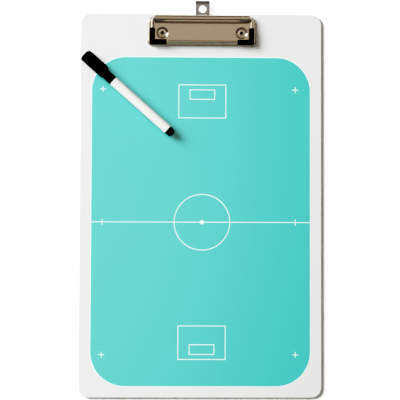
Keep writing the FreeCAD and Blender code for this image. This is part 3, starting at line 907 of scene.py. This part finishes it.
# %% Fibreboard core with a lacquered edge
dark_fibre, pale_fibre = (0.74, 0.75, 0.75, 1), (0.82, 0.83, 0.83, 1)
fibre_depth = 0.002 * mm


def fibreboard():
    """Pressed fibre under thin white lacquer: lying fibres show as fine streaks in colour and relief."""
    finish, start = new_finish("core_board", {"IOR": 1.45})
    fibres = start.noise((3 * mm, 3 * mm, 0.18 * mm), detail=4.0)
    dust = start.noise(0.35 * mm, detail=2.0)
    colour = (fibres * 0.7 + dust * 0.3).mix(dark_fibre, pale_fibre)
    feed(finish, colour, fibres * 0.2 + 0.42, (fibres + dust * 0.5).relief(fibre_depth))
    return finish


dress(fibreboard(), nodes["board_core"])

# %% [markdown]
# ## Nickel
# The clip, wire and rivets are steel with a bright, slightly warm nickel plate. Plating is a mirror with
# faults: rolling marks in the sheet, drawing marks on the wire and a gentle waviness from the press. The
# colour of metal lies in its reflection, so Metallic is 1 and the marks go into roughness and relief. The tab,
# which is pulled by hand, gets a darker and greyer copy of the same plating.

# %% Nickel plating
# dull_nickel is the nickel colour made darker and greyer, for the tab.
nickel_colour, dull_nickel = (0.76, 0.7, 0.62), (0.54, 0.55, 0.6)
# Painted shade: a near-black colour on the rivet bore's wall stands in for the shade deep in the hole.
painted_bore_shade = (0.035, 0.032, 0.03, 1)
mark_depth, sheet_wave, drawn_wave = 0.001 * mm, 0.02 * mm, 0.006 * mm
sheet_grain = (14 * mm, 0.16 * mm, 0.16 * mm)
wire_grain, rivet_grain = (1.2 * mm, 1.2 * mm, 0.2 * mm), (0.6 * mm, 0.6 * mm, 0.2 * mm)
sheet_roughness, wire_roughness, rivet_roughness = 0.15, 0.22, 0.3


def nickel(name, plating, grain, base_roughness, wave_depth, has_bore=False):
    """Plated steel: marks as long as the grain, small clouds of dullness and a shallow waviness.
    Where the piece has a bore, its attribute marks the bore's wall, which gets a near-black painted shade."""
    finish, start = new_finish(name, {"Metallic": 1.0})
    marks = start.noise(grain, detail=2.0)
    clouds = start.noise((9 * mm, 6 * mm, 6 * mm))
    pits = start.noise(0.5 * mm, detail=2.0).step(0.66, 0.8)
    waves = start.noise((11 * mm, 7 * mm, 7 * mm), detail=1.0)
    tone = clouds * 0.6 + marks * 0.4 - pits * 0.5
    colour = tone.mix(shade(plating, 0.86), shade(plating, 1.1))
    if has_bore:
        # Painted shade: the bore's wall is coloured near black.
        colour = start.node("Attribute", {"attribute_name": "bare"}, {}, "Fac").mix(colour, painted_bore_shade)
    roughness = marks * 0.08 + clouds * 0.06 + pits * 0.15 + base_roughness
    height = waves + marks * (mark_depth / wave_depth)
    feed(finish, colour, roughness, height.relief(wave_depth))
    return finish


dress(nickel("nickel_plate", nickel_colour, sheet_grain, sheet_roughness, sheet_wave), clip_plate)
dress(nickel("dull_nickel_plate", dull_nickel, sheet_grain, sheet_roughness, sheet_wave), hang_tab)
dress(nickel("nickel_wire", nickel_colour, wire_grain, wire_roughness, drawn_wave), bail_wire)
dress(nickel("nickel_rivet", nickel_colour, rivet_grain, rivet_roughness, drawn_wave, has_bore=True), *rivets)

# %% [markdown]
# ## Rubber and plastic
# The grips are matt rubber tube. The marker's black pieces are moulded with a fine spark-eroded grain that
# dulls them, and its barrel is smooth and glossy. All three are the same recipe with other numbers: a grain
# for relief, a softer cloud for gloss, and a slight change of tone.

# %% Black rubber, black and white plastic
def moulding(name, light, dark, grain, grain_depth, base_roughness, constants):
    """Moulded surface: tone and gloss follow a soft cloud, and a fine grain stands up from it."""
    finish, start = new_finish(name, constants)
    clouds = start.noise(8 * mm)
    fine = start.noise(grain, detail=2.0)
    colour = (clouds * 0.5 + fine * 0.5).mix((*dark, 1), (*light, 1))
    feed(finish, colour, clouds * 0.08 + fine * 0.08 + base_roughness, fine.relief(grain_depth))
    return finish


black, faint_gloss, clear_gloss = (0.0015, 0.0015, 0.0018), {"Specular IOR Level": 0.1}, {"IOR": 1.49}
dress(moulding("black_rubber", light=(0.004, 0.004, 0.0045), dark=black, grain=0.5 * mm,
               grain_depth=0.02 * mm, base_roughness=0.5, constants=faint_gloss), *grips)
dress(moulding("black_plastic", light=(0.0035, 0.0033, 0.004), dark=black, grain=0.3 * mm,
               grain_depth=0.008 * mm, base_roughness=0.4, constants=faint_gloss), cap, section, plug)
dress(moulding("white_plastic", light=(0.86, 0.86, 0.855), dark=(0.82, 0.82, 0.815), grain=2.5 * mm,
               grain_depth=0.004 * mm, base_roughness=0.18, constants=clear_gloss), barrel)

# %% Fibre and film inside the marker
marker_turn = math.atan2(marker_heading[1], marker_heading[0])
strand_size, strand_depth = (6 * mm, 0.14 * mm, 0.14 * mm), 0.05 * mm


def pressed_fibre(name, light, dark):
    """Bundle of fibres along the marker: streaks in tone, gloss and relief."""
    finish, start = new_finish(name, {"Specular IOR Level": 0.25})
    strands = start.noise(strand_size, marker_turn, detail=2.0)
    colour = strands.mix((*dark, 1), (*light, 1))
    feed(finish, colour, strands * 0.15 + 0.7, strands.relief(strand_depth))
    return finish


dress(pressed_fibre("nib_fibre", light=(0.03, 0.03, 0.034), dark=(0.008, 0.008, 0.01)), nib)
dress(pressed_fibre("reservoir_fibre", light=(0.09, 0.09, 0.1), dark=(0.02, 0.02, 0.024)),
      nodes["marker_reservoir"])
dress(moulding("clear_film", light=(0.86, 0.87, 0.88), dark=(0.78, 0.79, 0.8), grain=1.5 * mm,
               grain_depth=0.01 * mm, base_roughness=0.22, constants=clear_gloss),
      nodes["marker_reservoir_sheath"])

# %% [markdown]
# ## Floor, light and camera
# The board lies on a white table under a large soft box from the upper left, so shadows fall soft to the
# lower right. The box is two lamps, one just in front of the other: one lights the colours and the other only
# shows in mirrors, so the glints on the nickel can be set by themselves. Light linking keeps the second one
# to clip and marker, as a photographer flags a lamp so that a glossy face isn't washed out from any side.
# What else the nickel mirrors is the world, painted as a warm ceiling over darker walls. A photographed room
# would do too, but a script can't carry one.

# %% Pale floor
floor_half, floor_drop, floor_count = 6.0, 0.02 * mm, 9
dim_paint, bright_paint = (0.93, 0.93, 0.925, 1), (0.95, 0.95, 0.95, 1)


def pale_floor():
    """Flat square at a height just under the board, as a coarse grid in x and y."""
    line = np.linspace(-floor_half, floor_half, floor_count)
    plan = np.stack(np.meshgrid(line, line, indexing="ij"), axis=-1)
    piece = new_piece("pale_floor", (lifted(plan, -floor_drop), False, None))
    finish, start = new_finish("floor_paint", {})
    grain = start.noise(30 * mm)
    feed(finish, grain.mix(dim_paint, bright_paint), grain * 0.1 + 0.7, grain.relief(0.02 * mm))
    dress(finish, piece)
    return piece


table = pale_floor()

# %% Room that the metal mirrors
scene = bpy.context.scene
ceiling = (0.505, 0.44, 0.375, 1)
high_wall, low_wall = (0.205, 0.195, 0.18, 1), (0.07, 0.07, 0.07, 1)
wall_fade, ceiling_edge = (0.0, 0.6), (0.86, 0.97)


def from_sky(zenith, azimuth):
    """Direction to a place in the sky, from its angle off the zenith and its azimuth, from +X towards +Y."""
    zenith, azimuth = math.radians(zenith), math.radians(azimuth)
    aside = math.sin(zenith)
    return Vector((aside * math.cos(azimuth), aside * math.sin(azimuth), math.cos(zenith)))


ceiling_middle = from_sky(17, 90)


def studio_world():
    """Warm ceiling and darker walls: a smooth step in how far a direction points to the ceiling's middle."""
    world = bpy.data.worlds.new("studio")
    world.use_nodes = True
    scene.world = world
    start = Link(world.node_tree)
    direction = start.node("TexCoord", {}, {}, "Generated")
    sockets = {0: direction, 1: ceiling_middle}
    towards = start.node("VectorMath", {"operation": "DOT_PRODUCT"}, sockets, "Value")
    height = start.node("SeparateXYZ", {}, {"Vector": direction}, "Z")
    room = height.step(*wall_fade).mix(low_wall, high_wall)
    colour = towards.step(*ceiling_edge).mix(room, ceiling)
    background = world.node_tree.nodes["Background"]
    world.node_tree.links.new(colour.socket, background.inputs["Color"])


studio_world()
print("room: ceiling", ceiling[:3], "over walls from", low_wall[:3], "to", high_wall[:3])

# %% Soft boxes and what they light
def softbox(name, direction, distance, spread, radiance, stretch=1.0):
    """Round lamp of a given radiance that shines at the board from a direction. Spread is the angle from its
    middle to its rim, seen from the board. Stretch makes it an ellipse, longer at right angles to the line
    down to the board."""
    lamp = bpy.data.objects.new(name, bpy.data.lights.new(name, "AREA"))
    lamp.location = direction * distance
    lamp.rotation_euler = direction.to_track_quat("Z", "Y").to_euler()
    scene.collection.objects.link(lamp)
    radius = distance * math.tan(spread)
    lamp.data.shape, lamp.data.size, lamp.data.size_y = "ELLIPSE", 2 * radius * stretch, 2 * radius
    lamp.data.energy = radiance * math.pi * math.pi * radius ** 2 * stretch
    print(name, "of radius", round(radius, 2), "m,", round(lamp.data.energy, 1), "W")
    return lamp


def gathered(name, *pieces):
    """Collection of pieces, for light linking."""
    group = bpy.data.collections.new(name)
    for piece in pieces:
        group.objects.link(piece)
    return group


# %% Key light and its glints
key_place, key_distance, key_spread = from_sky(59, 148), 8.0, math.radians(17)
glint_distance = 0.95 * key_distance
key_radiance, glint_radiance = 21.9, 6.0
key = softbox("key_box", key_place, key_distance, key_spread, key_radiance)
key.data.color = (0.982, 0.995, 1.0)
key.visible_glossy = False
glint = softbox("glint_box", key_place, glint_distance, key_spread, glint_radiance)
glint.visible_diffuse = glint.visible_camera = False
glint.light_linking.receiver_collection = gathered(
    "polished", clip_plate, bail_wire, hang_tab, *rivets, *grips, cap, section, barrel, plug)

# %% [markdown]
# ### Sheen on the laminate
# A dry-erase face is glossy, and a long lamp overhead lays a milky sheen over its left half. Painted into
# the ink, that sheen would stay put when the board is turned. So it is a lamp that only shows in mirrors, and
# light linking keeps it off the metal.

# %% Long lamp for the faces
sheen_place, sheen_distance, sheen_spread = from_sky(7.4, 174), 3.0, math.radians(12.8)
sheen_radiance, sheen_stretch = 2.48, 2.1
sheen = softbox("sheen_box", sheen_place, sheen_distance, sheen_spread, sheen_radiance, sheen_stretch)
sheen.visible_diffuse = sheen.visible_camera = False
sheen.light_linking.receiver_collection = gathered(
    "lit_faces", nodes["front_laminate"], nodes["field_print"])

# %% [markdown]
# ### A table burnt out to white
# Product photographers often light the table by itself until it turns pure white, so that nothing draws the
# eye from the product. Light linking does the same here: a second, smaller box lights the floor alone, and
# only the board itself still casts a shadow there, with a crisp edge. Lit much further, the table would eat
# into outlines.

# %% Second box on the floor alone
floor_distance, floor_spread, floor_radiance = 1.05 * key_distance, math.radians(8), 56.0
floor_box = softbox("floor_box", key_place, floor_distance, floor_spread, floor_radiance)
floor_box.light_linking.receiver_collection = gathered("lit_floor", table)
floor_box.light_linking.blocker_collection = gathered("floor_shade", nodes["board_core"])

# %% [markdown]
# ### Contrast and camera
# A photograph isn't a straight copy of the light: blacks close up and whites roll off softly. Compositing
# could do that, but the scene's own tone curve stays with the light that it belongs to. The camera hangs
# 1.2 m above the board and looks almost straight down through a long lens, so its sides stay nearly parallel.

# %% Contrast of the picture
white_point = 1.4
tone_points = [(0.03, 0.0), (0.3, 0.29), (0.6, 0.6), (0.8, 0.785), (1.0, 0.89)]


def set_contrast():
    """Tone curve from light to picture: a short dark toe, a straight middle and a soft shoulder."""
    view = scene.view_settings
    view.view_transform = "Standard"
    view.use_curve_mapping = True
    mapping = view.curve_mapping
    mapping.white_level = (white_point,) * 3
    for light, shown in tone_points:
        mapping.curves[3].points.new(light / white_point, shown)
    mapping.update()


set_contrast()

# %% Camera
camera_place = np.array([-25.67, -42.18, 1200.0]) * mm
camera_turn = np.radians([2.246, -1.197, 0.203])
camera_data = bpy.data.cameras.new("overhead")
camera_data.lens, camera_data.sensor_width = 103.59, 36.0
camera = bpy.data.objects.new("overhead", camera_data)
camera.location, camera.rotation_euler = camera_place, camera_turn
scene.collection.objects.link(camera)
scene.camera = camera
print("camera", np.round(camera_place, 3), "lens", camera_data.lens)
